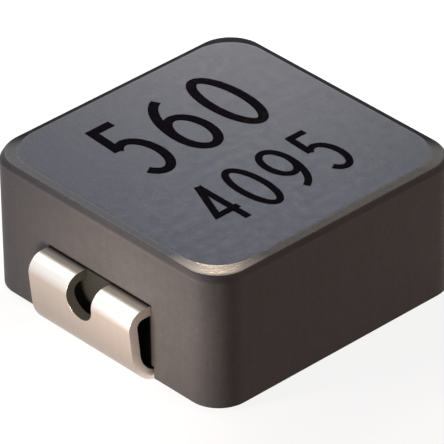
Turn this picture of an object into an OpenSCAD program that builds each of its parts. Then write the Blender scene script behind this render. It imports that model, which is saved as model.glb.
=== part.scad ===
// Moulded power inductor for surface mounting.
// A flat-wire coil sits inside a block of pressed iron powder, which is both core and shield.
// Each coil lead is welded to a tinned copper strip, which leaves the block at half height,
// folds down outside the wall and turns in under the block as a solder pad.
// X runs through both terminals, Z is up, and the origin is the centre of the seating plane.
// All sizes are in millimetres.

/* [Body] */
// Width of the square block, along X and along Y
body_w = 6.6; // [6.4:0.1:7]
// Height of the block, from its underside to its top
body_h = 3.05; // [2.9:0.05:3.4]
// Radius of the four upright corners
corner_r = 0.7; // [0.5:0.05:0.9]
// How far the broken upper edge reaches in over the top
edge_in = 0.22; // [0.16:0.01:0.28]
// How far the broken upper edge reaches down the wall
edge_down = 0.19; // [0.16:0.01:0.26]

/* [Terminals] */
// Width of each terminal strip
strip_w = 2.9; // [2.6:0.1:3.2]
// Thickness of the strip
strip_t = 0.22; // [0.18:0.01:0.25]
// Height of the strip's upper face above the underside of the block, where it leaves the wall
exit_h = 1.66; // [1.6:0.02:1.72]
// Greatest distance from the wall to the outside of the strip
reach = 0.56; // [0.5:0.02:0.62]
// Outer radius of the bend at the top of the strip's front
upper_r = 0.36; // [0.32:0.01:0.4]
// Outer radius of the bend at the foot of the strip's front
lower_r = 0.8; // [0.74:0.02:0.84]
// Lean of the front towards the wall as it goes down, in degrees
lean = 5.5; // [4:0.5:7]
// Height of the underside of the block above the board
stand_off = 0.1; // [0.08:0.01:0.12]
// Distance from the wall to the inner end of each pad
pad_in = 1.5; // [1.2:0.1:1.8]

/* [Slot in each terminal] */
// Width of the slot
slot_w = 0.71; // [0.6:0.01:0.8]
// Height of the slot's round lower end above the underside of the block
slot_foot = 0.9; // [0.8:0.02:1]
// Depth behind the wall of the centre of the slot's round inner end
slot_root = 0.1; // [0.06:0.02:0.14]

/* [Coil] */
// Whole turns wound after the half turn that carries the wire to the other side
whole_turns = 3; // [2:1:4]
// Radius of the winding, to the middle of the wire
coil_r = 1.6; // [1.5:0.05:1.65]
// Width of the flat wire, across the winding
wire_w = 0.8; // [0.7:0.05:0.8]
// Thickness of the flat wire
wire_t = 0.26; // [0.22:0.01:0.28]
// Space between one turn and the next, taken up by enamel and powder
turn_gap = 0.04; // [0.03:0.01:0.05]
// Radius of the bend that takes each lead out of the winding, to the middle of the wire
lead_r = 0.55; // [0.5:0.01:0.6]

/* [Hidden] */
$fn = 96;
OVER = 1;                             // how far a cutting shape runs past what it cuts
FREE = 0.03;                          // room left round the coil
PAD_ROOM = 0.05;                      // room left beside and behind a pad in its recess
WALL = body_w / 2;                    // distance from the middle to each wall

// The broken upper edge: a steep lower flat and a shallow upper flat, with their corners eased.
KNEE_IN = 0.05;                       // where the two flats meet, in from the wall
KNEE_DOWN = 0.055;                    // and down from the top
EASE = 0.035;                         // length of flat taken up by an eased corner
EASE_STEPS = 3;

// The terminal strip's side view, as distance out from the wall and height over the underside.
TAB_IN = 0.75;                        // how far the strip reaches in behind the wall
UPPER_STEPS = 16;
LOWER_STEPS = 20;
UPPER_C = [reach - upper_r, exit_h - upper_r];
FRONT_L = (UPPER_C[1] - lower_r + stand_off + (lower_r - upper_r) * sin(lean)) / cos(lean);
LOWER_C = [UPPER_C[0] - (lower_r - upper_r) * cos(lean) - FRONT_L * sin(lean),
           lower_r - stand_off];
PAD_TOP = strip_t - stand_off;        // ceiling of the recess over each pad
LOWER_IN_R = lower_r - strip_t;
EDGE_TOP = LOWER_C[1] - sqrt(LOWER_IN_R * LOWER_IN_R - LOWER_C[0] * LOWER_C[0]) + FREE;

// The coil, with heights measured from the middle plane of the buried tabs.
MID_Z = stand_off + exit_h - strip_t / 2;
PITCH = wire_t + turn_gap;
LEAD_Y = slot_w / 4 + strip_w / 4;    // each lead lies along the middle of one leg of the tab
LEAD_CY = LEAD_Y - lead_r;
LEAD_CX = sqrt(pow(coil_r + lead_r, 2) - LEAD_CY * LEAD_CY);
LEAD_OUT = WALL - 0.2;                // outer end of each lead
LEAD_FLAT = WALL - TAB_IN + 0.07;     // end of the stretch that lies flat on the tab
FIRST_A = 180 - atan2(LEAD_CY, LEAD_CX);
LAST_A = 540 - FIRST_A + 360 * whole_turns;
COIL_H = PITCH * (LAST_A - FIRST_A) / 360;
LEAD_Z = -(strip_t + wire_t) / 2;
TURN_STEP = 9;                        // degrees between cross-sections of the wire
CUTS = ceil((LAST_A - FIRST_A) / TURN_STEP);

// Points on an arc, with both ends.
function arc(c, r, a, b, steps) =
    [for (i = [0:steps]) let (t = a + (b - a) * i / steps) c + r * [cos(t), sin(t)]];

function unit(v) = v / norm(v);

// The points that ease a corner q between its neighbours p and s.
function eased(p, q, s) =
    let (a = q + EASE * unit(p - q), b = q + EASE * unit(s - q))
    [for (i = [0:EASE_STEPS]) let (t = i / EASE_STEPS)
        (1 - t) * (1 - t) * a + 2 * t * (1 - t) * q + t * t * b];

// The upper edge of a wall that stands at x, from the wall to the top face.
function broken_edge(x) =
    let (foot = [x, 0],
         low = [x, body_h - edge_down],
         knee = [x - KNEE_IN, body_h - KNEE_DOWN],
         high = [x - edge_in, body_h],
         top = [0, body_h])
    concat(eased(foot, low, knee), eased(low, knee, high), eased(knee, high, top));

function mirrored(points) =
    [for (i = [len(points) - 1:-1:0]) [-points[i][0], points[i][1]]];

// One upright corner of the block.
module corner_post() {
    rotate_extrude(angle = 90)
        polygon(concat([[0, 0], [corner_r, 0]], broken_edge(corner_r), [[0, body_h]]));
}

// The stretch of block between two pairs of corners, full width across.
module wall_to_wall() {
    side = concat([[WALL, 0]], broken_edge(WALL));
    rotate([90, 0, 0])
        linear_extrude(height = body_w - 2 * corner_r, center = true)
            polygon(concat(side, mirrored(side)));
}

module plain_block() {
    centre = WALL - corner_r;
    translate([0, 0, stand_off]) {
        wall_to_wall();
        rotate([0, 0, 90])
            wall_to_wall();
        for (a = [0:90:270])
            rotate([0, 0, a])
                translate([centre, centre, 0])
                    corner_post();
    }
}

// Places a terminal shape, drawn outwards from the wall, against the wall at +X.
module at_wall() {
    translate([WALL, 0, stand_off])
        children();
}

// The slot seen from above: round behind the wall and open towards the front.
module slot_from_above() {
    translate([-slot_root, 0])
        circle(d = slot_w);
    translate([-slot_root, -slot_w / 2])
        square([slot_root + OVER, slot_w]);
}

// The slot seen from the front: round at the foot and open towards the top.
module slot_from_front() {
    centre = slot_foot + slot_w / 2;
    translate([0, centre])
        circle(d = slot_w);
    translate([-slot_w / 2, centre])
        square([slot_w, exit_h + OVER - centre]);
}

// The folded strip without its slot.
module folded_strip() {
    outside = concat(arc(UPPER_C, upper_r, 90, -lean, UPPER_STEPS),
                     arc(LOWER_C, lower_r, -lean, -90, LOWER_STEPS));
    inside = concat(arc(LOWER_C, LOWER_IN_R, -90, -lean, LOWER_STEPS),
                    arc(UPPER_C, upper_r - strip_t, -lean, 90, UPPER_STEPS));
    rotate([90, 0, 0])
        linear_extrude(height = strip_w, center = true)
            polygon(concat([[-TAB_IN, exit_h]], outside, [[-pad_in, -stand_off]],
                           [[-pad_in, PAD_TOP]], inside, [[-TAB_IN, exit_h - strip_t]]));
}

// One terminal at +X.
module terminal() {
    at_wall()
        difference() {
            folded_strip();
            translate([0, 0, exit_h - strip_t - FREE])
                linear_extrude(height = strip_t + 2 * FREE)
                    slot_from_above();
            rotate([90, 0, 90])
                linear_extrude(height = reach + OVER)
                    slot_from_front();
        }
}

// The space in the block that a terminal's buried tab fills, with powder standing in its slot.
module tab_space() {
    at_wall()
        translate([0, 0, exit_h - strip_t])
            linear_extrude(height = strip_t)
                difference() {
                    translate([-TAB_IN, -strip_w / 2])
                        square([TAB_IN + OVER, strip_w]);
                    slot_from_above();
                }
}

// The recess for a pad, with the lower edge of the block cut back behind the bend.
module pad_recess() {
    rise = (EDGE_TOP - PAD_TOP) / -LOWER_C[0];
    at_wall()
        rotate([90, 0, 0])
            linear_extrude(height = strip_w + 2 * PAD_ROOM, center = true)
                polygon([[-pad_in - PAD_ROOM, -OVER],
                         [OVER, -OVER],
                         [OVER, PAD_TOP + rise * (OVER - LOWER_C[0])],
                         [LOWER_C[0], PAD_TOP],
                         [-pad_in - PAD_ROOM, PAD_TOP]]);
}

// The ring-shaped space that the turns fill.
module winding_space() {
    translate([0, 0, MID_Z])
        rotate_extrude()
            translate([coil_r - wire_w / 2 - FREE, -(COIL_H + wire_t) / 2 - FREE])
                square([wire_w + 2 * FREE, COIL_H + wire_t + 2 * FREE]);
}

// The space for the start lead, under the tab at -X.
module lead_space() {
    low_y = LEAD_CY - PAD_ROOM;
    low_z = -(COIL_H + wire_t) / 2 - FREE;
    translate([-LEAD_OUT - FREE, low_y, MID_Z + low_z])
        cube([LEAD_OUT + FREE - coil_r, LEAD_Y + wire_w / 2 + FREE - low_y,
              -strip_t / 2 - low_z]);
}

// Turns a shape over, end for end, about the middle plane of the tabs.
module turned_over() {
    translate([0, 0, MID_Z])
        rotate([0, 180, 0])
            translate([0, 0, -MID_Z])
                children();
}

// A smooth step from 0 to 1.
function smooth(t) = t * t * (3 - 2 * t);

// The middle of the start lead, from its outer end to the winding.
LEAD_STEPS = 6;
START_LEAD = concat(
    [[-LEAD_OUT, LEAD_Y, LEAD_Z]],
    [for (i = [0:LEAD_STEPS]) let (t = i / LEAD_STEPS)
        [-LEAD_FLAT + (LEAD_FLAT - LEAD_CX) * t, LEAD_Y,
         LEAD_Z + (-COIL_H / 2 - LEAD_Z) * smooth(t)]],
    [for (i = [1:LEAD_STEPS]) let (a = 90 + (FIRST_A - 270) * i / LEAD_STEPS)
        [-LEAD_CX + lead_r * cos(a), LEAD_CY + lead_r * sin(a), -COIL_H / 2]]);

// The middle of the finish lead, which is the start lead turned over, from winding to end.
FINISH_LEAD = [for (i = [len(START_LEAD) - 1:-1:0]) let (p = START_LEAD[i]) [-p[0], p[1], -p[2]]];

TURNS = [for (i = [1:CUTS - 1]) let (t = i / CUTS, a = FIRST_A + (LAST_A - FIRST_A) * t)
    [coil_r * cos(a), coil_r * sin(a), COIL_H * (t - 0.5)]];

WIRE = concat(START_LEAD, TURNS, FINISH_LEAD);

// The four corners of the wire's cross-section at point i of its path.
function wire_section(i) =
    let (ahead = unit(WIRE[min(i + 1, len(WIRE) - 1)] - WIRE[max(i - 1, 0)]),
         across = unit([-ahead[1], ahead[0], 0]) * wire_w / 2,
         through = unit(cross(ahead, across)) * wire_t / 2)
    [WIRE[i] - across - through, WIRE[i] + across - through,
     WIRE[i] + across + through, WIRE[i] - across + through];

module core() {
    color("#67666c")
        difference() {
            plain_block();
            winding_space();
            lead_space();
            turned_over()
                lead_space();
            tab_space();
            rotate([0, 0, 180])
                tab_space();
            pad_recess();
            rotate([0, 0, 180])
                pad_recess();
        }
}

module coil() {
    last = 4 * (len(WIRE) - 1);
    corners = [for (i = [0:len(WIRE) - 1]) each wire_section(i)];
    sides = [for (i = [0:4:last - 4], k = [0:3])
        [i + k, i + (k + 1) % 4, i + 4 + (k + 1) % 4, i + 4 + k]];
    ends = [[3, 2, 1, 0], [last, last + 1, last + 2, last + 3]];
    color("#b5703c")
        translate([0, 0, MID_Z])
            polyhedron(points = corners, faces = concat(sides, ends));
}

module start_terminal() {
    color("#d9c9b8")
        rotate([0, 0, 180])
            terminal();
}

module finish_terminal() {
    color("#d9c9b8")
        terminal();
}

core();
coil();
start_terminal();
finish_terminal();
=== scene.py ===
# %% [markdown]
# # A moulded power inductor
#
# This lesson dresses a small surface-mount inductor: a square block of pressed iron powder with a
# coil sealed inside it, and a folded strip of tinned copper at each end to solder it down by.
# The block is under 7 mm wide, so every length below is written in millimetres and multiplied by
# MM. Sizes that the frame holds are read from it, and the rest are named where they are used.

# %% Load the fixed frame
import math
import bpy
import bmesh
import numpy as np
from mathutils import Matrix, Vector


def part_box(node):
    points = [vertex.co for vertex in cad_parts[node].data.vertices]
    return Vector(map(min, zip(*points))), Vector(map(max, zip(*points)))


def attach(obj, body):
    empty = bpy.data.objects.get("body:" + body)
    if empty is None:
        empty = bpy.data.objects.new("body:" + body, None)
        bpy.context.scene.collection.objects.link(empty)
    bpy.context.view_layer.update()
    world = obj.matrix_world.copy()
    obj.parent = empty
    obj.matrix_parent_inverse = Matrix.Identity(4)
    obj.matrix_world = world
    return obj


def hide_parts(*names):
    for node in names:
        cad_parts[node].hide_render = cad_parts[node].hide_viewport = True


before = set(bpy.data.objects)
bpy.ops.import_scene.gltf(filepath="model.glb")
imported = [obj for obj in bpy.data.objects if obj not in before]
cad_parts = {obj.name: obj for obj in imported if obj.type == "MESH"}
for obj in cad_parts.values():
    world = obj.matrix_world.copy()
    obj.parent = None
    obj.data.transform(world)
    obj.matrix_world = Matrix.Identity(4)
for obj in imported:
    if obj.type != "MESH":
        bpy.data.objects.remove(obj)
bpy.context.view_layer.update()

MM = 0.001
block_low, block_high = (np.array(corner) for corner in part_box("core"))
strip_low, strip_high = (np.array(corner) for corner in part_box("finish_terminal"))
WALL = float(block_high[0])           # half the block's width
UNDER = float(block_low[2])
TOP = float(block_high[2])
print("block, mm:", np.round((block_high - block_low) / MM, 3))
print("strip, mm:", np.round((strip_high - strip_low) / MM, 3))

# %% [markdown]
# ## The camera
#
# A part this small is usually looked at from some way off with a long lens, which keeps its
# upright edges parallel. The camera looks down on the corner between the start terminal and the
# plain front wall. Its place follows from two angles and a distance measured in block widths, so it
# would follow the block if the block grew.

# %% Place the camera
AZIMUTH = math.radians(-42.54)
ELEVATION = math.radians(33.42)
ROLL = math.radians(-0.93)
LENS = 451.4                          # in the sensor's units
SENSOR = 36
DISTANCE = 16.51 * 2 * WALL           # 16.51 block widths
AIM = Vector((0, 0, UNDER + 0.4606 * WALL))
SHIFT_X = -0.0066                     # slides the picture, in parts of its width
SHIFT_Y = -0.0140


def camera_axes(azimuth, elevation, roll):
    """Right, up and back of a camera that stands at an azimuth and elevation: back points from the
    aim to the camera, right is level, up is their cross product, and roll turns both about back."""
    back = Vector((math.sin(azimuth) * math.cos(elevation),
                   -math.cos(azimuth) * math.cos(elevation),
                   math.sin(elevation)))
    level = Vector((math.cos(azimuth), math.sin(azimuth), 0))
    rise = back.cross(level)
    right = math.cos(roll) * level + math.sin(roll) * rise
    up = math.cos(roll) * rise - math.sin(roll) * level
    return right, up, back


right, up, back = camera_axes(AZIMUTH, ELEVATION, ROLL)
camera = bpy.data.objects.new("camera", bpy.data.cameras.new("camera"))
turn = Matrix((right, up, back)).transposed().to_4x4()
camera.matrix_world = Matrix.Translation(AIM + DISTANCE * back) @ turn
camera.data.lens = LENS
camera.data.sensor_width = SENSOR
camera.data.shift_x = SHIFT_X
camera.data.shift_y = SHIFT_Y
camera.data.clip_start = 10 * MM
bpy.context.scene.collection.objects.link(camera)
bpy.context.scene.camera = camera
bpy.context.scene.view_settings.view_transform = "Standard"
print("camera stands", round(DISTANCE / MM), "mm from its aim")

# %% [markdown]
# ## Small helpers for node trees
#
# A material is a tree of nodes. A few short helpers keep the trees readable. One adds a node and
# fills in its inputs, where an input may be a plain value or another node's output. Others give a
# sum, a mix, a noise or a change of range, and one starts a material with its shader in place.


# %% Node helpers
MIX_FACTOR, MIX_FIRST, MIX_SECOND, MIX_RESULT = 0, 6, 7, 2      # the sockets of a mix of colours


def fill_inputs(tree, node, inputs):
    """Fills a node's inputs with plain values or with links from other nodes."""
    for name, value in inputs.items():
        if isinstance(value, bpy.types.NodeSocket):
            tree.links.new(value, node.inputs[name])
        else:
            node.inputs[name].default_value = value


def add_node(tree, kind, inputs=None, **settings):
    """Adds a node of a kind, sets its settings, and fills its inputs."""
    node = tree.nodes.new(kind)
    for name, value in settings.items():
        setattr(node, name, value)
    fill_inputs(tree, node, inputs or {})
    return node


def maths(tree, operation, first, second=0.0):
    """The output of one sum on two values or links."""
    return add_node(tree, "ShaderNodeMath", {0: first, 1: second}, operation=operation).outputs[0]


def times(tree, first, second):
    """The product of two values or links."""
    return maths(tree, "MULTIPLY", first, second)


def blend_colours(tree, factor, first, second):
    """The output of a mix from the first colour to the second."""
    inputs = {MIX_FACTOR: factor, MIX_FIRST: first, MIX_SECOND: second}
    return add_node(tree, "ShaderNodeMix", inputs, data_type="RGBA").outputs[MIX_RESULT]


def rescale(tree, value, low, high, new_low=0.0, new_high=1.0):
    """Carries the range low to high over to new_low to new_high, and holds it there."""
    return add_node(tree, "ShaderNodeMapRange",
                    {"Value": value, "From Min": low, "From Max": high,
                     "To Min": new_low, "To Max": new_high}).outputs[0]


def noise(tree, place, scale, detail=2.0, roughness=0.5):
    """A noise that drifts round 0.5, with its scale per unit of place."""
    return add_node(tree, "ShaderNodeTexNoise", {"Vector": place, "Scale": scale, "Detail": detail,
                                                 "Roughness": roughness}).outputs[0]


def blend_layers(tree, colour, layers):
    """Lays colours over a first one, each where its mask is 1, in the order they are given."""
    for mask, over in layers:
        colour = blend_colours(tree, mask, colour, over)
    return colour


def object_place(tree):
    """The place of the shaded point in the object's own metres."""
    return tree.nodes.new("ShaderNodeTexCoord").outputs["Object"]


def empty_tree(owner):
    """Gives a material or a world a node tree with nothing in it."""
    owner.use_nodes = True
    owner.node_tree.nodes.clear()
    return owner.node_tree


def new_material(name):
    """A material with a Principled shader joined to its output. Returns the material, its tree, the
    shader, and the place of the shaded point."""
    material = bpy.data.materials.new(name)
    tree = empty_tree(material)
    shader = add_node(tree, "ShaderNodeBsdfPrincipled")
    add_node(tree, "ShaderNodeOutputMaterial", {"Surface": shader.outputs[0]})
    return material, tree, shader, object_place(tree)


def add_bump(tree, shader, height, strength, distance):
    """Tilts a shader's normal by the slope of a height, which stands for distance metres at 1."""
    bump = add_node(tree, "ShaderNodeBump",
                    {"Height": height, "Strength": strength, "Distance": distance})
    fill_inputs(tree, shader, {"Normal": bump.outputs[0]})


print("helpers ready")

# %% [markdown]
# ## Floor, world and lamps
#
# The part stands on a pale floor in a plain studio. A dark block on a white sheet is hard to light:
# a sheet that bounces all its light fills the shaded wall until the block looks flat. So the sheet
# is a middling warm grey to light that bounces on to the block, and is lifted to white only where
# the camera or a reflection looks at it. It still darkens where the block keeps the lamps off it.
# It lies a hair under the pads, because two faces in one plane flicker, and it is clear from below,
# so that the underside can be looked at.


# %% Lay the floor and set the world
FLOOR_HALF = 600 * MM
FLOOR_DROP = 0.004 * MM
FLOOR_GLOW = 0.88                     # how much white is added where it is looked at
PAPER_SCALE = 300.0
PAPER = ((0.26, 0.22, 0.20, 1), (0.29, 0.25, 0.22, 1))
SKY_BOUNCED = (0.01, 0.01, 0.012, 1)
SKY_SEEN = (0.95, 0.95, 0.96, 1)


def seen_directly(tree):
    """1 for rays from the camera, a reflection or a clear surface, and 0 for bounced light."""
    rays = tree.nodes.new("ShaderNodeLightPath")
    seen = maths(tree, "MAXIMUM", rays.outputs["Is Camera Ray"], rays.outputs["Is Glossy Ray"])
    return maths(tree, "MAXIMUM", seen, rays.outputs["Is Transmission Ray"])


def make_floor():
    """One square sheet just under the pads, white to look at from above, warm grey to bounced
    light and clear from below."""
    corners = FLOOR_HALF * np.array([[-1, -1, 0], [1, -1, 0], [1, 1, 0], [-1, 1, 0]])
    corners[:, 2] = -FLOOR_DROP
    mesh = bpy.data.meshes.new("floor")
    mesh.from_pydata(corners, [], [(0, 1, 2, 3)])
    floor = bpy.data.objects.new("floor", mesh)
    bpy.context.scene.collection.objects.link(floor)
    material = bpy.data.materials.new("floor_sheet")
    tree = empty_tree(material)
    paper = blend_colours(tree, noise(tree, object_place(tree), PAPER_SCALE), *PAPER)
    sheet = add_node(tree, "ShaderNodeBsdfDiffuse", {"Color": paper})
    lift = times(tree, seen_directly(tree), FLOOR_GLOW)
    glow = add_node(tree, "ShaderNodeEmission", {"Color": (1, 1, 1, 1), "Strength": lift})
    both = add_node(tree, "ShaderNodeAddShader", {0: sheet.outputs[0], 1: glow.outputs[0]})
    clear = add_node(tree, "ShaderNodeBsdfTransparent")
    turned = tree.nodes.new("ShaderNodeNewGeometry").outputs["Backfacing"]
    one_way = add_node(tree, "ShaderNodeMixShader", {0: turned, 1: both.outputs[0],
                                                     2: clear.outputs[0]})
    add_node(tree, "ShaderNodeOutputMaterial", {"Surface": one_way.outputs[0]})
    mesh.materials.append(material)


def make_world():
    """A world that is white to look at and almost black to bounced light."""
    bpy.context.scene.world = bpy.data.worlds.new("studio")
    tree = empty_tree(bpy.context.scene.world)
    colour = blend_colours(tree, seen_directly(tree), SKY_BOUNCED, SKY_SEEN)
    sky = add_node(tree, "ShaderNodeBackground", {"Color": colour, "Strength": 1.0})
    add_node(tree, "ShaderNodeOutputWorld", {"Surface": sky.outputs[0]})


make_floor()
make_world()
print("floor lies", FLOOR_DROP / MM, "mm under the pads")

# %% [markdown]
# Each lamp is described by how bright it makes a white card that faces it, because that number can
# be compared with a colour. A sheet of area A and power P sends out a radiance of P / (pi A), so a
# card at distance d that faces it shows P / (pi d)^2.
#
# Three lamps light the top. The one behind the far corner is the strongest, and lets the top fade
# towards the viewer. The small warm one overhead stands where the bevel at the near corner mirrors
# it, and the broad soft one stands where the fold of the start terminal does. A small lamp close to
# that terminal lights its wall and falls off along it, helped by a weak cool fill from further out.
# The wall beside it gets only a weak warm fill, so that the block reads as a solid.


# %% Hang the lamps
def hang_lamp(name, place, width, level, colour):
    """An area lamp at a place, turned to the block, that makes a white card there show level."""
    toward = place - AIM
    light = bpy.data.lights.new(name, "AREA")
    light.size = width
    light.energy = level * (math.pi * toward.length) ** 2
    light.color = colour
    lamp = bpy.data.objects.new(name, light)
    lamp.matrix_world = (Matrix.Translation(place)
                         @ toward.to_track_quat("Z", "Y").to_matrix().to_4x4())
    bpy.context.scene.collection.objects.link(lamp)


# name, place and width in mm, level on the card, colour
LAMPS = (
    ("overhead", (9.3, 11.0, 21.0), 2.6, 0.15, (1.0, 0.90, 0.78)),
    ("behind", (10.0, 10.0, 12.0), 6.0, 0.54, (0.95, 0.96, 0.97)),
    ("side", (-7.5, -1.2, 1.8), 1.6, 0.38, (1.0, 0.93, 0.83)),
    ("soft_left", (-4.0, 31.0, 37.0), 40.0, 0.28, (1.0, 0.98, 0.95)),
    ("side_fill", (-20.0, 4.0, 5.0), 8.0, 0.13, (0.38, 0.52, 1.0)),
    ("front_fill", (27.0, -51.0, 18.0), 30.0, 0.16, (1.0, 0.74, 0.66)),
)
for name, place, width, level, colour in LAMPS:
    hang_lamp(name, Vector(place) * MM, width * MM, level, colour)
print("lamps:", [lamp[0] for lamp in LAMPS])

# %% [markdown]
# ## From arrays to a mesh
#
# Every new piece is a surface worked out as whole arrays. These helpers give the faces of a grid of
# points, and put arrays of points and faces into a mesh.


# %% Mesh helpers
def grid_faces(rows, columns, closed=False):
    """Quads that join a grid of points, numbered row by row, into a sheet. A closed grid joins its
    last column to its first."""
    across = columns if closed else columns - 1
    row, column = np.meshgrid(np.arange(rows - 1), np.arange(across), indexing="ij")
    here = (row * columns + column).ravel()
    beside = (row * columns + (column + 1) % columns).ravel()
    return np.stack([here, beside, beside + columns, here + columns], axis=1)


def make_piece(name, points, faces, material, replaces=()):
    """Puts points and faces into a mesh, smooth all over, gives it its material, fixes the piece to
    the one body, and hides the nodes that it stands for."""
    mesh = bpy.data.meshes.new(name)
    mesh.from_pydata(np.asarray(points), [], [list(map(int, face)) for face in faces])
    mesh.polygons.foreach_set("use_smooth", np.ones(len(mesh.polygons), dtype=bool))
    mesh.materials.append(material)
    mesh.update()
    piece = bpy.data.objects.new(name, mesh)
    bpy.context.scene.collection.objects.link(piece)
    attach(piece, "root")
    for node in replaces:
        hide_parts(node)
    print(name, len(mesh.vertices), "points", len(mesh.polygons), "faces")
    return piece


def ease_sharp_edges(piece, width, sharpest, segments=3):
    """Rounds every edge whose faces turn by more than an angle in degrees, and keeps flats flat."""
    bevel = piece.modifiers.new("eased_edges", "BEVEL")
    bevel.width = width
    bevel.segments = segments
    bevel.limit_method = "ANGLE"
    bevel.angle_limit = np.radians(sharpest)
    bevel.harden_normals = True


print("mesh helpers ready")

# %% [markdown]
# ## Shared surface effects
#
# The block and the strips share a few effects of making and handling, each built once as a node
# group: a fine grain, drawn lines, edge wear and a little dust. One more group gives the masks of
# painted shadow and shade where a strip leaves the block. A size here is a real length and a scale
# is a count per metre, because the grain of the powder is a few hundredths of a millimetre and has
# to stay so.


# %% Grain and drawn lines
def new_group(name, inputs, outputs):
    """A shader node group with named inputs and outputs. An input with no value is a vector."""
    group = bpy.data.node_groups.new(name, "ShaderNodeTree")
    for label, value in inputs.items():
        kind = "NodeSocketVector" if value is None else "NodeSocketFloat"
        socket = group.interface.new_socket(label, in_out="INPUT", socket_type=kind)
        if value is not None:
            socket.default_value = value
    for label in outputs:
        group.interface.new_socket(label, in_out="OUTPUT", socket_type="NodeSocketFloat")
    return group, group.nodes.new("NodeGroupInput"), group.nodes.new("NodeGroupOutput")


def use_group(tree, group, inputs):
    """Adds a group to a tree and fills its inputs."""
    return add_node(tree, "ShaderNodeGroup", inputs, node_tree=group)


def make_grain_group():
    """Grain: a cell pattern for single grains over a noise for clumps six grains wide. Fleck is 1
    on the few grains whose random number is high, Tone is the noise, which drifts round 0.5, and
    Height is 0.6 of the distance from a cell's middle plus Tone."""
    group, given, result = new_group("fine_grain", {"Place": None, "Grain": 0.04 * MM},
                                     ["Fleck", "Tone", "Height"])
    place = given.outputs["Place"]
    per_metre = maths(group, "DIVIDE", 1.0, given.outputs["Grain"])
    cells = add_node(group, "ShaderNodeTexVoronoi", {"Vector": place, "Scale": per_metre})
    clumps = noise(group, place, maths(group, "DIVIDE", per_metre, 6.0), 3.0)
    pick = add_node(group, "ShaderNodeSeparateColor", {"Color": cells.outputs["Color"]})
    fleck = rescale(group, pick.outputs[0], 0.86, 0.97)
    height = maths(group, "ADD", times(group, cells.outputs["Distance"], 0.6), clumps)
    fill_inputs(group, result, {"Fleck": fleck, "Tone": clumps, "Height": height})
    return group


def make_lines_group():
    """Drawn lines: a noise read at places that are squeezed by Squeeze, so that it varies quickly
    across the lines and hardly at all along them."""
    group, given, result = new_group("drawn_lines", {"Place": None, "Squeeze": None}, ["Line"])
    squeezed = add_node(group, "ShaderNodeVectorMath",
                        {0: given.outputs["Place"], 1: given.outputs["Squeeze"]},
                        operation="MULTIPLY")
    fill_inputs(group, result, {"Line": noise(group, squeezed.outputs[0], 1.0, 4.0, 0.65)})
    return group


fine_grain = make_grain_group()
drawn_lines = make_lines_group()
print("groups:", fine_grain.name, drawn_lines.name)


# %% Wear and dust
def make_wear_group():
    """Edge wear: where Edge is near 1 and a noise is high, so that the wear comes in patches. A
    larger Amount lowers the noise that is needed."""
    group, given, result = new_group("edge_wear", {"Place": None, "Edge": 0.0, "Amount": 0.5},
                                     ["Wear"])
    patches = noise(group, given.outputs["Place"], 2600.0, 5.0, 0.7)
    reach = maths(group, "SUBTRACT", 1.0, given.outputs["Amount"])
    patch = maths(group, "SUBTRACT", maths(group, "ADD", patches, 0.35), reach)
    raised = rescale(group, patch, 0.0, 0.45)
    fill_inputs(group, result, {"Wear": times(group, raised, given.outputs["Edge"])})
    return group


def make_dust_group():
    """Dust: specks where the product of a coarse noise and a fine one is high, times Amount."""
    group, given, result = new_group("settled_dust", {"Place": None, "Amount": 0.2}, ["Dust"])
    drift = noise(group, given.outputs["Place"], 420.0)
    specks = noise(group, given.outputs["Place"], 14000.0)
    spread = rescale(group, times(group, drift, specks), 0.26, 0.42)
    fill_inputs(group, result, {"Dust": times(group, spread, given.outputs["Amount"])})
    return group


edge_wear = make_wear_group()
settled_dust = make_dust_group()
print("groups:", edge_wear.name, settled_dust.name)


# %% Masks for painted shadow at the strips
def make_strip_shadow_group():
    """Three masks of painted shade where a strip leaves the block: the first is 1 in a painted
    shadow line over the strip, the second on the wall that the strip covers, painted as its shadow,
    and the third on the wall that shows through its slot, painted as the shade there. Each is a box
    with soft sides, the product of one mask for each axis: 1 within the half width of the middle,
    and falling to 0 over the soft rim. Signs are dropped first, so one box serves both ends."""
    group, given, result = new_group("strip_shadow_masks", {"Place": None}, ["ShadowLine", "StripShadow", "Window"])
    sizes = add_node(group, "ShaderNodeVectorMath", {0: given.outputs["Place"]},
                     operation="ABSOLUTE")
    apart = add_node(group, "ShaderNodeSeparateXYZ", {0: sizes.outputs[0]})
    wall, half_y, exit_z = WALL / MM, strip_high[1] / MM, strip_high[2] / MM
    # the middle, half width and soft rim of each box along X, Y and Z, in mm
    boxes = {
        "ShadowLine": ((wall, 0.02, 0.13), (0.0, half_y + 0.01, 0.03), (exit_z, 0.015, 0.025)),
        "StripShadow": ((wall, 0.05, 0.02), (0.0, half_y - 0.01, 0.01),
                  (exit_z / 2, exit_z / 2 + 0.01, 0.01)),
        "Window": ((wall, 0.05, 0.02), (0.0, 0.80, 0.03), (1.10, 0.66, 0.05)),
    }
    for name, box in boxes.items():
        mask = 1.0
        for axis, (middle, half, soft) in enumerate(box):
            away = maths(group, "ABSOLUTE",
                         maths(group, "SUBTRACT", apart.outputs[axis], middle * MM))
            inside = rescale(group, away, half * MM, (half + soft) * MM, 1.0, 0.0)
            mask = times(group, mask, inside)
        fill_inputs(group, result, {name: mask})
    return group


strip_shadow_masks = make_strip_shadow_group()
print("group:", strip_shadow_masks.name)
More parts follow.
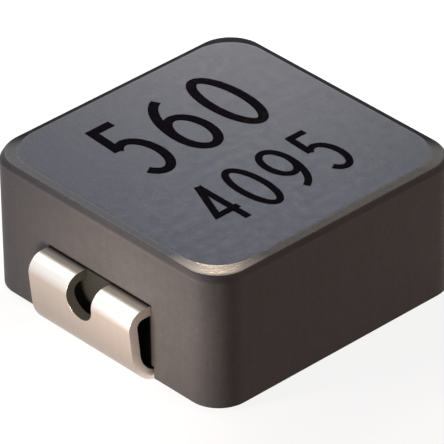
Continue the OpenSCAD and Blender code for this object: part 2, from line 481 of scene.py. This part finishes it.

# %% [markdown]
# ## The pressed powder
#
# The block is iron powder and resin, pressed hard in a die and cured. It is a dull grey with a
# grain almost too fine to see and a few bright grains. The die drags faint upright lines down the
# walls as the block is pushed out. The bevel round the upper edge is a little darker all round, and
# burnished, smoother and a little metallic, on the two near sides. Painted light lies over this:
# the top is painted cooler than the walls and painted darker towards the near corner, the narrow
# land under the bevel is painted shade except at the near corner, the bevel has a painted lighter
# tone by the front wall and a painted highlight at the near corner, and on the two far sides it is
# painted almost black as a painted dark reflection.
#
# The block's mesh, made further down, marks its own zones with attributes: edge on the rounded
# corners of its profile, land and bevel on the two flats of the broken edge, and upper on the top.
# One more number is useful, the sum of X and Y, which runs from the near corner to the far one.


# %% The powder's colours and zones
# painted light: the walls are painted warm and the top cool, and the near pair of the top is
# painted shade
WARM_LIT_WALL_GREYS = ((0.130, 0.113, 0.107, 1), (0.148, 0.129, 0.122, 1))
COOL_SHADED_NEAR_TOP_GREYS = ((0.088, 0.099, 0.142, 1), (0.100, 0.111, 0.159, 1))     # on top, near corner
COOL_LIT_FAR_TOP_GREYS = ((0.114, 0.117, 0.139, 1), (0.128, 0.132, 0.156, 1))      # on top, far corner
DRAG_LINE = (0.088, 0.084, 0.086, 1)
BRIGHT_GRAIN = (0.26, 0.255, 0.25, 1)
# painted shade on the steep land under the bevel
PAINTED_LAND_SHADE = (0.055, 0.050, 0.052, 1)
# a darker grey laid over the whole bevel
DARKER_BEVEL_GREY = (0.085, 0.092, 0.080, 1)
# painted lighter tone on the bevel near the front wall
PAINTED_FRONT_BEVEL_LIGHT = (0.175, 0.160, 0.145, 1)
# painted highlight on the bevel at the near corner
PAINTED_CORNER_HIGHLIGHT = (0.68, 0.58, 0.49, 1)
WORN_EDGE = (0.27, 0.25, 0.24, 1)
POWDER_DUST = (0.42, 0.40, 0.38, 1)
# painted dark reflection on the far sides of the bevel
PAINTED_FAR_BEVEL_SHADE = (0.006, 0.006, 0.007, 1)
# painted shadow on the wall behind a strip
PAINTED_STRIP_SHADOW = (0.004, 0.004, 0.004, 1)
# painted shade on the wall seen through the slot
PAINTED_SLOT_SHADE = (0.055, 0.050, 0.040, 1)
# painted shadow line where a strip leaves the block
PAINTED_SHADOW_LINE = (0.006, 0.005, 0.004, 1)
POWDER_GRAIN = 0.035 * MM
DRAG_SQUEEZE = (9000.0, 9000.0, 260.0)      # quick across the walls, slow up them


def read_mark(tree, name):
    """The value that a mesh carries under a name at the shaded point."""
    return add_node(tree, "ShaderNodeAttribute", attribute_name=name).outputs["Fac"]


def edge_zones(tree, place):
    """Masks for the broken edge. Along the sum of X and Y, near falls from 1 to 0 just past the
    block's middle, tip rises at the near corner, and the ramp of the top's painted shade rises
    evenly over the top. The bevel less near carries the painted dark reflection of the far sides,
    the bevel where Y is close to the front wall its painted lighter tone, and the bevel at the tip
    its painted highlight. The land's painted shade stops at the tip."""
    apart = add_node(tree, "ShaderNodeSeparateXYZ", {0: place})
    diagonal = maths(tree, "ADD", apart.outputs[0], apart.outputs[1])
    bevel = read_mark(tree, "bevel")
    near = rescale(tree, diagonal, 0.0, 0.7 * MM, 1.0, 0.0)
    tip = rescale(tree, diagonal, -5.1 * MM, -6.1 * MM)
    front = rescale(tree, apart.outputs[1], -2.6 * MM, -3.2 * MM, 0.0, 0.55)
    return {
        "top_shade_ramp": rescale(tree, diagonal, -4.5 * MM, 4.5 * MM),
        "bevel": bevel,
        "burnish": times(tree, bevel, near),
        "front": times(tree, bevel, front),
        "corner": times(tree, bevel, tip),
        "far_bevel_shade": times(tree, bevel, maths(tree, "SUBTRACT", 1.0, near)),
        "land": times(tree, read_mark(tree, "land"), maths(tree, "SUBTRACT", 1.0, tip)),
    }


print("powder grains are", POWDER_GRAIN / MM, "mm wide")


# %% The powder material
def powder_colour(tree, place, zones, grain, drag):
    """Two greys that drift with the grain: a warmer pair on the walls than on the top as painted
    light, and on the top a near pair painted darker and bluer than the far one as painted shade.
    Over them lie the marks of making and handling, and the painted highlights and shade of the
    edges and strips."""
    tone = rescale(tree, grain.outputs["Tone"], 0.3, 0.7)
    # painted light and shade: a cool top over warm walls, painted darker towards the near corner
    walls, near_top, far_top = (blend_colours(tree, tone, *greys)
                                for greys in (WARM_LIT_WALL_GREYS, COOL_SHADED_NEAR_TOP_GREYS, COOL_LIT_FAR_TOP_GREYS))
    top = blend_colours(tree, zones["top_shade_ramp"], near_top, far_top)
    cool_top_mask = maths(tree, "ADD", read_mark(tree, "upper"), times(tree, zones["bevel"], 0.6))
    wear = use_group(tree, edge_wear, {"Place": place, "Edge": read_mark(tree, "edge"),
                                       "Amount": 0.62})
    dust = use_group(tree, settled_dust, {"Place": place, "Amount": 0.04})
    strip_shadow = use_group(tree, strip_shadow_masks, {"Place": place})
    return blend_layers(tree, blend_colours(tree, cool_top_mask, walls, top), (
        (rescale(tree, drag.outputs["Line"], 0.35, 0.75, 0.0, 0.22), DRAG_LINE),
        (times(tree, grain.outputs["Fleck"], 0.07), BRIGHT_GRAIN),
        # painted shade on the land
        (times(tree, zones["land"], 0.55), PAINTED_LAND_SHADE),
        # the bevel a little darker all round
        (times(tree, zones["bevel"], 0.45), DARKER_BEVEL_GREY),
        # painted lighter tone on the bevel by the front wall
        (zones["front"], PAINTED_FRONT_BEVEL_LIGHT),
        # painted highlight at the near corner
        (zones["corner"], PAINTED_CORNER_HIGHLIGHT),
        (times(tree, wear.outputs["Wear"], 0.12), WORN_EDGE),
        (dust.outputs["Dust"], POWDER_DUST),
        # painted dark reflection on the far bevel
        (zones["far_bevel_shade"], PAINTED_FAR_BEVEL_SHADE),
        # painted shadow and shade where the strips leave the block
        (strip_shadow.outputs["StripShadow"], PAINTED_STRIP_SHADOW),
        (strip_shadow.outputs["Window"], PAINTED_SLOT_SHADE),
        (strip_shadow.outputs["ShadowLine"], PAINTED_SHADOW_LINE),
    ))


def make_powder():
    """Grey powder. Roughness follows the grain, plus 0.35 where the far bevel is painted dark and
    less 0.27 of the burnish, the burnish is also a little metallic, and grain and drag lines are
    the bump."""
    material, tree, shader, place = new_material("pressed_powder")
    zones = edge_zones(tree, place)
    grain = use_group(tree, fine_grain, {"Place": place, "Grain": POWDER_GRAIN})
    drag = use_group(tree, drawn_lines, {"Place": place, "Squeeze": DRAG_SQUEEZE})
    satin = rescale(tree, grain.outputs["Tone"], 0.3, 0.7, 0.50, 0.60)
    far_bevel_rougher = maths(tree, "ADD", satin, times(tree, zones["far_bevel_shade"], 0.35))
    polished = maths(tree, "SUBTRACT", far_bevel_rougher, times(tree, zones["burnish"], 0.27))
    fill_inputs(tree, shader, {
        "Base Color": powder_colour(tree, place, zones, grain, drag), "Roughness": polished,
        "Metallic": times(tree, zones["burnish"], 0.30), "Specular IOR Level": 0.12})
    relief = maths(tree, "ADD", grain.outputs["Height"], times(tree, drag.outputs["Line"], 0.5))
    add_bump(tree, shader, relief, 0.35, 0.012 * MM)
    return material


powder = make_powder()
print("material:", powder.name)

# %% [markdown]
# ## The block
#
# A box with a bevel modifier would round all its edges alike, but a pressed block doesn't look like
# that: its upright corners are wide curves, its upper edge is broken by two narrow flats, and its
# lower edge is almost sharp. So the block is a profile carried round a rounded square. The corners
# of the round grow rounder from the wall to the top face, which widens the broken edge there.


# %% The round and the profile
CORNER_R = 0.70 * MM
TOP_CORNER_R = 0.88 * MM              # the punch's corners are rounder than the die's
EDGE_IN = 0.22 * MM                   # the whole broken edge, inwards and downwards
EDGE_DOWN = 0.19 * MM
KNEE_IN = 0.05 * MM                   # where its two flats meet
KNEE_DOWN = 0.055 * MM
EASE = 0.035 * MM                     # how much of each flat a rounded corner takes
HOLD = 0.008 * MM
RECESS_HALF = strip_high[1] + 0.05 * MM     # half the width of a pad's recess
RECESS_END = strip_low[0] - 0.05 * MM       # its inner end, along X
RECESS_TOP = UNDER + 0.12 * MM              # its ceiling
LIP_FOOT = 3.0 * MM                         # where the ceiling starts to rise to the wall
LIP_TOP = UNDER + 0.276 * MM                # how high it stands at the wall


def turned(angle):
    """The matrix that turns row vectors anticlockwise by an angle."""
    return np.array([[np.cos(angle), np.sin(angle)], [-np.sin(angle), np.cos(angle)]])


def rounded_square(arc_steps):
    """Three parts of every point round a rounded square, anticlockwise from the recess at +X: a
    fixed place, a direction that the inner square's half width multiplies, and a direction that the
    corner's radius multiplies. On a straight side the last two are the same."""
    quarter = np.linspace(0, np.pi / 2, arc_steps + 1)
    fixed, inner, outer = [], [], []
    for corner in range(4):
        turn = corner * np.pi / 2
        if corner % 2 == 0:
            fixed.append(np.array([[0, -RECESS_HALF], [0, RECESS_HALF]]) @ turned(turn))
            inner.append(np.tile([1.0, 0.0], (2, 1)) @ turned(turn))
            outer.append(inner[-1])
        fixed.append(np.zeros((arc_steps + 1, 2)))
        inner.append(np.tile([1.0, 1.0], (arc_steps + 1, 1)) @ turned(turn))
        outer.append(np.stack([np.cos(quarter + turn), np.sin(quarter + turn)], axis=1))
    return tuple(np.concatenate(part) for part in (fixed, inner, outer))


def eased_corner(before, corner, after, steps=6):
    """A quadratic curve that cuts a corner off between points EASE away along each side: with t
    from 0 to 1, (1 - t) squared of the start, 2 t (1 - t) of the corner and t squared of the end.
    One more point past each end holds the flats flat."""
    towards = [(np.array(point) - corner) / np.linalg.norm(np.array(point) - corner)
               for point in (before, after)]
    start, end = corner + EASE * towards[0], corner + EASE * towards[1]
    t = np.linspace(0, 1, steps + 1)[:, None]
    curve = (1 - t) ** 2 * start + 2 * t * (1 - t) * np.array(corner) + t ** 2 * end
    return np.concatenate([[start + HOLD * towards[0]], curve, [end + HOLD * towards[1]]])


def block_profile():
    """Insets and heights from the underside to the top face, with marks from 0 to 1 for the eased
    corners, the steep land, which carries painted shade, and the flat bevel, which the punch
    burnishes and which carries painted highlight and painted shade."""
    foot = np.array([0, UNDER])
    low = np.array([0, TOP - EDGE_DOWN])
    knee = np.array([KNEE_IN, TOP - KNEE_DOWN])
    high = np.array([EDGE_IN, TOP])
    middle = np.array([WALL, TOP])
    corners = [eased_corner(*three) for three in ((foot, low, knee), (low, knee, high),
                                                  (knee, high, middle))]
    wall = np.array([[0, UNDER], [0, LIP_TOP]])
    points = np.concatenate([wall] + corners)
    on_corner = np.concatenate([[0], np.ones(len(corners[0]) - 2), [0]])
    edge = np.concatenate([[0, 0]] + [on_corner] * 3)
    height = points[:, 1]
    land = ((height > low[1]) & (height < knee[1])).astype(float)
    bevel = ((height >= knee[1]) & (points[:, 0] < high[0])).astype(float)
    upper = (points[:, 0] >= high[0]).astype(float)
    return points, {"edge": edge, "land": land, "bevel": bevel, "upper": upper}


profile, marks = block_profile()
fixed, inner, outer = rounded_square(arc_steps=18)
print("profile of", len(profile), "points carried round", len(fixed))

# %% [markdown]
# Carrying the profile round is one sum of arrays. The top is closed by one flat face. Underneath,
# the pads lie in two shallow recesses, open to the walls, whose ceilings rise there to let the
# strip bend past. So two quads of the wall give way to the recesses' own faces.


# %% Make the block
def carry_round(profile):
    """Points (row, step) = fixed + inner * (half width - inset - radius) + outer * radius, at the
    row's height. The radius grows evenly with the inset, up to the top face's."""
    inset, height = profile[:, 0][:, None, None], profile[:, 1][:, None, None]
    grown = np.clip(inset / EDGE_IN, 0, 1)
    radius = CORNER_R + (TOP_CORNER_R - CORNER_R) * grown
    flat = fixed + inner * (WALL - inset - radius) + outer * radius
    return np.concatenate([flat, np.broadcast_to(height, flat.shape[:2] + (1,))], axis=2)


def recess_faces(first, above, sign, start):
    """The faces of one recess. first and first + 1 are the wall points at its two sides, above the
    same on the row above, and start the number of its first own point. Returns its points, its
    faces, and the two points where its inner end meets the underside."""
    side = np.array([-RECESS_HALF, RECESS_HALF]) * sign
    ends = [(RECESS_END, UNDER), (RECESS_END, RECESS_TOP), (LIP_FOOT, RECESS_TOP)]
    points = [(sign * x, y, z) for x, z in ends for y in side]
    low, high = (first, first + 1), (above, above + 1)
    end_foot, end_top, lip = ((start + 2 * i, start + 2 * i + 1) for i in range(3))
    faces = [(end_foot[0], end_foot[1], end_top[1], end_top[0]),
             (end_top[0], end_top[1], lip[1], lip[0]),
             (lip[0], lip[1], high[1], high[0]),
             (low[0], end_foot[0], end_top[0], lip[0], high[0]),
             (low[1], high[1], lip[1], end_top[1], end_foot[1])]
    return points, faces, end_foot


def make_block():
    """The whole block: the carried profile, the top face, the underside and the two recesses. Only
    the carried faces are shaded smooth, and their points carry the profile's marks."""
    rows = carry_round(profile)
    count, ring = rows.shape[:2]
    points = list(map(tuple, rows.reshape(-1, 3)))
    openings = (0, ring // 2)         # the wall's first point at the +X and at the -X recess
    faces = [tuple(face) for face in grid_faces(count, ring, closed=True)
             if face[0] not in openings]
    carried = len(faces)
    faces.append(tuple(range((count - 1) * ring, count * ring)))
    detours = {}
    for first, sign in zip(openings, (1, -1)):
        own, walls, end_foot = recess_faces(first, first + ring, sign, len(points))
        points += own
        faces += walls
        detours[first] = list(end_foot)
    underside = []
    for step in range(ring):
        underside += [step] + detours.get(step, [])
    faces.append(tuple(reversed(underside)))
    piece = make_piece("pressed_block", points, faces, powder, replaces=["core"])
    piece.data.polygons.foreach_set("use_smooth", np.arange(len(faces)) < carried)
    for name, mark in marks.items():
        values = np.zeros(len(points))
        values[:count * ring] = np.repeat(mark, ring)
        piece.data.attributes.new(name, "FLOAT", "POINT").data.foreach_set("value", values)
    ease_sharp_edges(piece, width=0.018 * MM, sharpest=40)


make_block()

# %% [markdown]
# ## The tinned strips
#
# Each terminal is a strip of copper, tinned, punched and folded. The fold is what gives it away: a
# short ledge, a tight bend, a front that leans in, and a wide bend into the pad. The strip's path
# is a heading that turns only in the two bends. A slot, punched before folding, splits the upper
# part into two legs.
#
# A thin sheet that is given a thickness by Solidify keeps that thickness round the bends. So only
# the outer face is worked out here: a grid of distances along the strip and places across it, whose
# inner edge draws back to leave the slot open.


# %% The strip's path
STRIP_T = 0.22 * MM
UPPER_R = 0.36 * MM                   # the two bends, on the outer face
LOWER_R = 0.80 * MM
LEAN = np.radians(5.5)
STRIP_HALF = strip_high[1]
REACH = strip_high[0] - WALL          # how far it stands out from the wall
EXIT = strip_high[2]                  # the height of its ledge
BURIED = 0.10 * MM                    # how far the shown strip starts behind the wall
SLOT_HALF = 0.355 * MM
SLOT_FOOT = UNDER + 0.90 * MM         # the lowest point of the slot

TURN_1 = np.pi / 2 + LEAN             # how far the upper bend turns; the lower does the rest
LEDGE = REACH - UPPER_R + BURIED
FRONT = ((EXIT - UPPER_R - LOWER_R) + (LOWER_R - UPPER_R) * np.sin(LEAN)) / np.cos(LEAN)
BEND_END_X = (WALL + REACH - UPPER_R - (LOWER_R - UPPER_R) * np.cos(LEAN)
              - FRONT * np.sin(LEAN))
PAD = BEND_END_X - strip_low[0]
LENGTHS = np.array([LEDGE, UPPER_R * TURN_1, FRONT, LOWER_R * (np.pi - TURN_1), PAD])
STARTS = np.concatenate([[0], np.cumsum(LENGTHS)])


def heading(angle):
    """The way the strip runs after turning down by an angle: cos outwards and sin downwards."""
    return np.stack([np.cos(angle), -np.sin(angle)], axis=-1)


def outward(angle):
    """The way its outer face looks there, a quarter turn from its heading."""
    return np.stack([np.sin(angle), np.cos(angle)], axis=-1)


def folded_path(along):
    """Distance from the middle and height of the outer face at distances along the strip. A flat
    adds its length times its heading. A bend of radius r adds r times the change in where the face
    looks."""
    gone = np.clip(along[:, None] - STARTS[:-1], 0, LENGTHS)
    first = gone[:, 1] / UPPER_R
    second = TURN_1 + gone[:, 3] / LOWER_R
    place = np.array([WALL - BURIED, EXIT])
    return (place + gone[:, [0]] * heading(np.zeros(1))
            + UPPER_R * (outward(first) - outward(np.zeros(1)))
            + gone[:, [2]] * heading(np.array([TURN_1]))
            + LOWER_R * (outward(second) - outward(np.array([TURN_1])))
            + gone[:, [4]] * heading(np.array([np.pi])))


bend_foot = folded_path(STARTS[2:3])[0]
SLOT_CENTRE = STARTS[2] + (bend_foot[1] - SLOT_FOOT - SLOT_HALF) / np.cos(LEAN)
print("strip is", round(STARTS[-1] / MM, 2), "mm long, its pad ends at",
      np.round(folded_path(STARTS[-1:])[0] / MM, 3))


# %% The strip's outer face
STRETCH_ROWS = (4, 19, 9, 25, 8)      # ledge, upper bend, front, lower bend, pad
FOOT_ROWS = 15
HALF_COLUMNS = 10
TWIN_REACH = 0.002 * MM


def strip_rows():
    """Distances along the strip, close together in the bends and round the slot's foot, without
    the twins where stretches meet."""
    parts = [np.linspace(start, end, count)
             for start, end, count in zip(STARTS[:-1], STARTS[1:], STRETCH_ROWS)]
    foot = SLOT_CENTRE + SLOT_HALF * np.sin(np.linspace(0, np.pi / 2, FOOT_ROWS))
    return np.unique(np.round(np.concatenate(parts + [foot]), 9))


def slot_edge(along):
    """Half the slot's width: constant down to the centre of its foot, then a half circle."""
    past = np.clip((along - SLOT_CENTRE) / SLOT_HALF, 0, 1)
    return SLOT_HALF * np.sqrt(1 - past ** 2)


def half_strip(rows, side):
    """A grid across one half of the strip: across it runs evenly from the outer edge in to the
    slot's edge, and along it each row has the path's place. Returns points and faces."""
    place = folded_path(rows)
    t = np.linspace(0, 1, HALF_COLUMNS)
    across = side * (STRIP_HALF + (slot_edge(rows)[:, None] - STRIP_HALF) * t)
    out = np.broadcast_to(place[:, [0]], across.shape)
    height = np.broadcast_to(place[:, [1]], across.shape)
    faces = grid_faces(len(rows), HALF_COLUMNS)
    if side < 0:
        faces = faces[:, ::-1]
    return np.stack([out, across, height], axis=2).reshape(-1, 3), faces


def mark_slot(piece):
    """Writes slot: 1 at the points no further from the middle than the slot's edge, 0 elsewhere.
    Only cut edges read it, so it shows in the slot and on the pad's cut end."""
    points = np.zeros(len(piece.data.vertices) * 3)
    piece.data.vertices.foreach_get("co", points)
    across = np.abs(points.reshape(-1, 3)[:, 1])
    in_slot = (across < SLOT_HALF + TWIN_REACH).astype(float)
    piece.data.attributes.new("slot", "FLOAT", "POINT").data.foreach_set("value", in_slot)


def join_twins(piece):
    """Joins points that lie within a hair of each other."""
    shape = bmesh.new()
    shape.from_mesh(piece.data)
    bmesh.ops.remove_doubles(shape, verts=shape.verts, dist=TWIN_REACH)
    shape.to_mesh(piece.data)
    shape.free()


print("rows along the strip:", len(strip_rows()))

# %% [markdown]
# Tin on rolled copper is a soft, warm white metal. Rolling leaves fine lines along the strip. The
# upper bend and the ledge carry a painted highlight, and the front is painted darker towards its
# foot as painted shade. The strip's long sides are tinned too, while its faces cut where slot is
# marked are painted a dark, dull brown as the shade inside the slot.


# %% The tin material
TIN = ((0.57, 0.47, 0.40, 1), (0.60, 0.495, 0.425, 1))
# painted shade, darker towards the foot
PAINTED_SHADE_FOOT = (0.32, 0.262, 0.23, 1)
# painted highlight on the ledge and upper bend
PAINTED_TIN_HIGHLIGHT = (0.90, 0.86, 0.78, 1)
TIN_DUST = (0.5, 0.46, 0.42, 1)
# painted shadow line where the strip leaves the block
TIN_PAINTED_SHADOW_LINE = (0.05, 0.038, 0.030, 1)
TIN_GRAIN = 0.06 * MM
ROLLING_SQUEEZE = (300.0, 14000.0, 300.0)   # quick across the strip, slow along it
SIDE_TIN = ((0.76, 0.64, 0.565, 1), (0.88, 0.76, 0.68, 1))
# painted shade inside the slot: a dark, dull brown
PAINTED_SLOT_BROWN = ((0.070, 0.060, 0.046, 1), (0.085, 0.075, 0.058, 1))
SHEAR_GRAIN = 0.05 * MM
SHEAR_SQUEEZE = (9000.0, 700.0, 9000.0)


def make_tin():
    """Metal in two tones that follow rolling lines and grain, painted darker towards the foot as
    painted shade, with a painted highlight at the top and a painted shadow line at the block. The
    light tone is the smoother."""
    material, tree, shader, place = new_material("tinned_face")
    rolled = use_group(tree, drawn_lines, {"Place": place, "Squeeze": ROLLING_SQUEEZE})
    grain = use_group(tree, fine_grain, {"Place": place, "Grain": TIN_GRAIN})
    dust = use_group(tree, settled_dust, {"Place": place, "Amount": 0.06})
    strip_shadow = use_group(tree, strip_shadow_masks, {"Place": place})
    uneven = maths(tree, "ADD", rolled.outputs["Line"], times(tree, grain.outputs["Tone"], 0.5))
    tone = rescale(tree, uneven, 0.55, 0.95)
    up = add_node(tree, "ShaderNodeSeparateXYZ", {0: place}).outputs[2]
    colour = blend_layers(tree, blend_colours(tree, tone, *TIN), (
        # painted shade towards the foot
        (rescale(tree, up, 0.1 * MM, 1.5 * MM, 1.0, 0.0), PAINTED_SHADE_FOOT),
        # painted highlight at the top of the strip
        (rescale(tree, up, 1.40 * MM, 1.62 * MM), PAINTED_TIN_HIGHLIGHT),
        (dust.outputs["Dust"], TIN_DUST),
        # painted shadow line at the block
        (strip_shadow.outputs["ShadowLine"], TIN_PAINTED_SHADOW_LINE),
    ))
    fill_inputs(tree, shader, {"Base Color": colour, "Metallic": 0.85,
                               "Roughness": rescale(tree, tone, 0.0, 1.0, 0.37, 0.32)})
    add_bump(tree, shader, rolled.outputs["Line"], 0.25, 0.006 * MM)
    return material


def make_sheared():
    """Cut edges: tinned on the strip's sides, and where slot is 1 a dark, dull brown that is not
    metallic and rougher by 0.25, painted as the shade inside the slot."""
    material, tree, shader, place = new_material("sheared_edge")
    grain = use_group(tree, fine_grain, {"Place": place, "Grain": SHEAR_GRAIN})
    shear = use_group(tree, drawn_lines, {"Place": place, "Squeeze": SHEAR_SQUEEZE})
    # where slot is 1 the cut faces take the slot's painted shade
    slot_shade = rescale(tree, read_mark(tree, "slot"), 0.4, 0.6)
    uneven = maths(tree, "ADD", grain.outputs["Tone"], shear.outputs["Line"])
    tone = rescale(tree, times(tree, uneven, 0.5), 0.35, 0.65)
    tinned, brown = (blend_colours(tree, tone, *pair) for pair in (SIDE_TIN, PAINTED_SLOT_BROWN))
    satin = rescale(tree, tone, 0.0, 1.0, 0.5, 0.42)
    fill_inputs(tree, shader, {
        "Base Color": blend_colours(tree, slot_shade, tinned, brown),
        "Metallic": maths(tree, "SUBTRACT", 1.0, slot_shade),
        "Roughness": maths(tree, "ADD", satin, times(tree, slot_shade, 0.25))})
    add_bump(tree, shader, shear.outputs["Line"], 0.3, 0.008 * MM)
    return material


tin = make_tin()
sheared = make_sheared()
print("materials:", tin.name, sheared.name)


# %% Fold the two terminals
def make_terminal(name, node, facing):
    """A folded strip on the side that facing gives, 1 for +X and -1 for -X. The -X strip is the
    same one turned half round, so both X and Y change sign."""
    rows = strip_rows()
    left, left_faces = half_strip(rows, -1)
    other, other_faces = half_strip(rows, 1)
    points = np.concatenate([left, other]) * np.array([facing, facing, 1])
    faces = np.concatenate([left_faces, other_faces + len(left)])
    piece = make_piece(name, points, faces, tin, replaces=[node])
    join_twins(piece)
    piece.data.materials.append(sheared)
    mark_slot(piece)
    solid = piece.modifiers.new("strip_thickness", "SOLIDIFY")
    solid.thickness = STRIP_T
    solid.offset = -1
    solid.use_even_offset = True
    solid.material_offset_rim = 1
    ease_sharp_edges(piece, width=0.028 * MM, sharpest=50)


make_terminal("start_strip", "start_terminal", -1)
make_terminal("finish_strip", "finish_terminal", 1)

# %% [markdown]
# ## The sealed coil
#
# Nothing of the coil shows, but it is there: the frame's own solid stays, with the look of
# enamelled copper, for anyone who takes the block away.


# %% The copper material
COPPER = ((0.42, 0.13, 0.05, 1), (0.66, 0.27, 0.11, 1))
DRAWN_SQUEEZE = (500.0, 500.0, 12000.0)


def make_copper():
    """Copper under a thin amber enamel, with drawing lines and a clear coat."""
    material, tree, shader, place = new_material("enamelled_copper")
    drawn = use_group(tree, drawn_lines, {"Place": place, "Squeeze": DRAWN_SQUEEZE})
    line = drawn.outputs["Line"]
    fill_inputs(tree, shader, {
        "Base Color": blend_colours(tree, line, *COPPER), "Metallic": 1.0,
        "Roughness": rescale(tree, line, 0.3, 0.7, 0.38, 0.28), "Coat Weight": 0.5})
    return material


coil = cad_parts["coil"]
coil.data.materials.clear()
coil.data.materials.append(make_copper())
print("coil keeps its", len(coil.data.polygons), "faces")

# %% [markdown]
# ## The printed figures
#
# The top carries two rows of plain figures in thin dark ink, the larger over the smaller. A font
# would bring in its own style, so each figure is a few strokes: straight lines and arcs of ellipses
# in a box one wide and one high, followed by a pen of constant width.


# %% Strokes for the figures
def arc_stroke(centre, radii, start, end, steps=28):
    """Points round an ellipse: centre plus the radii times cosine and sine, in degrees."""
    angle = np.radians(np.linspace(start, end, steps))
    return np.array(centre) + np.stack([radii[0] * np.cos(angle), radii[1] * np.sin(angle)], axis=1)


def line_stroke(*points):
    """Straight lines from point to point."""
    return np.array(points, dtype=float)


def bowl_and_stem():
    """A round bowl below and a stem that curves up from its left side."""
    return [arc_stroke((0.5, 0.32), (0.5, 0.32), 0, 360, steps=44),
            arc_stroke((0.98, 0.32), (0.98, 0.68), 180, 102)]


FIGURES = {
    "0": [arc_stroke((0.5, 0.5), (0.5, 0.5), 0, 360, steps=52)],
    "4": [line_stroke((0.76, 0), (0.76, 1)), line_stroke((0.76, 1), (0, 0.30), (1, 0.30))],
    "5": [line_stroke((0.90, 1), (0.20, 1), (0.13, 0.56)),
          arc_stroke((0.46, 0.32), (0.50, 0.33), 132, -140, steps=36)],
    "6": bowl_and_stem(),
    "9": [1 - stroke for stroke in bowl_and_stem()],
}
LEAST_COSINE = 0.3


def pen_ribbon(path, width):
    """Points on both sides of a path, half a width away, and whether it closes on itself. At a
    corner the offset follows the mean of the two sides' normals and grows by one over the cosine of
    half the turn, which is held to at least LEAST_COSINE so that a sharp corner isn't a spike."""
    closed = bool(np.allclose(path[0], path[-1]))
    steps = np.diff(path, axis=0)
    steps /= np.linalg.norm(steps, axis=1, keepdims=True)
    before = np.concatenate([steps[-1:] if closed else steps[:1], steps])
    after = np.concatenate([steps, steps[:1] if closed else steps[-1:]])
    normals = [np.stack([-way[:, 1], way[:, 0]], axis=1) for way in (before, after)]
    mean = normals[0] + normals[1]
    mean /= np.linalg.norm(mean, axis=1, keepdims=True)
    growth = 1 / np.clip((mean * normals[0]).sum(axis=1, keepdims=True), LEAST_COSINE, 1)
    offset = mean * growth * width / 2
    last = -1 if closed else None
    return np.concatenate([(path + offset)[:last], (path - offset)[:last]]), closed


print("figures drawn by strokes:", sorted(FIGURES))

# %% [markdown]
# Printed ink is a film about a hundredth of a millimetre thick. Each stroke becomes a flat ribbon
# just over the top face, each a hair higher than the last so that crossing strokes never share a
# plane, and Solidify gives the film its thickness down into the face.


# %% Print the figures
# the figures, the row's left and right ends, its foot, its height, the pen and the gap, in mm
ROWS = (
    ("560", -1.69, 1.74, 0.19, 2.15, 0.21, 0.30),
    ("4095", -1.75, 1.70, -2.12, 1.59, 0.15, 0.22),
)
INK = ((0.003, 0.002, 0.004, 1), (0.007, 0.005, 0.008, 1))
INK_DUST = (0.2, 0.19, 0.18, 1)
INK_GRAIN = 0.03 * MM
FILM = 0.012 * MM                     # the ink's thickness
PROUD = 0.004                         # how far the lowest stroke stands over the face, in mm
LAYER = 0.0004                        # and each stroke over the last, in mm


def figure_row(text, left, right, foot, height, width, gap):
    """Ribbons for a row of figures: each box is an equal share of the row, less the gaps, drawn in
    by half the pen's width on every side."""
    share = (right - left - gap * (len(text) - 1)) / len(text)
    ribbons = []
    for place, figure in enumerate(text):
        corner = np.array([left + place * (share + gap) + width / 2, foot + width / 2])
        scale = np.array([share - width, height - width])
        ribbons += [pen_ribbon(corner + stroke * scale, width) for stroke in FIGURES[figure]]
    return ribbons


def make_ink():
    """Near-black ink with a slightly uneven, matt surface that mirrors next to nothing."""
    material, tree, shader, place = new_material("printing_ink")
    grain = use_group(tree, fine_grain, {"Place": place, "Grain": INK_GRAIN})
    dust = use_group(tree, settled_dust, {"Place": place, "Amount": 0.05})
    tone = rescale(tree, grain.outputs["Tone"], 0.3, 0.7)
    ink = blend_colours(tree, tone, *INK)
    fill_inputs(tree, shader, {
        "Base Color": blend_colours(tree, dust.outputs["Dust"], ink, INK_DUST),
        "Roughness": rescale(tree, tone, 0.0, 1.0, 0.70, 0.80), "Specular IOR Level": 0.005})
    add_bump(tree, shader, grain.outputs["Height"], 0.25, 0.008 * MM)
    return material


def print_figures():
    """Both rows as one piece, shaded flat, with each stroke a layer higher than the last."""
    ribbons = []
    for text, *sizes in ROWS:
        ribbons += figure_row(text, *(size * MM for size in sizes))
    points, faces = [], []
    total = 0
    for layer, (ribbon, closed) in enumerate(ribbons):
        height = np.full((len(ribbon), 1), TOP + (PROUD + LAYER * layer) * MM)
        faces.append(grid_faces(2, len(ribbon) // 2, closed)[:, ::-1] + total)
        points.append(np.concatenate([ribbon, height], axis=1))
        total += len(ribbon)
    piece = make_piece("figures", np.concatenate(points), np.concatenate(faces), make_ink())
    piece.data.polygons.foreach_set("use_smooth", np.zeros(len(piece.data.polygons), dtype=bool))
    film = piece.modifiers.new("ink_film", "SOLIDIFY")
    film.thickness = FILM
    film.offset = -1


print_figures()
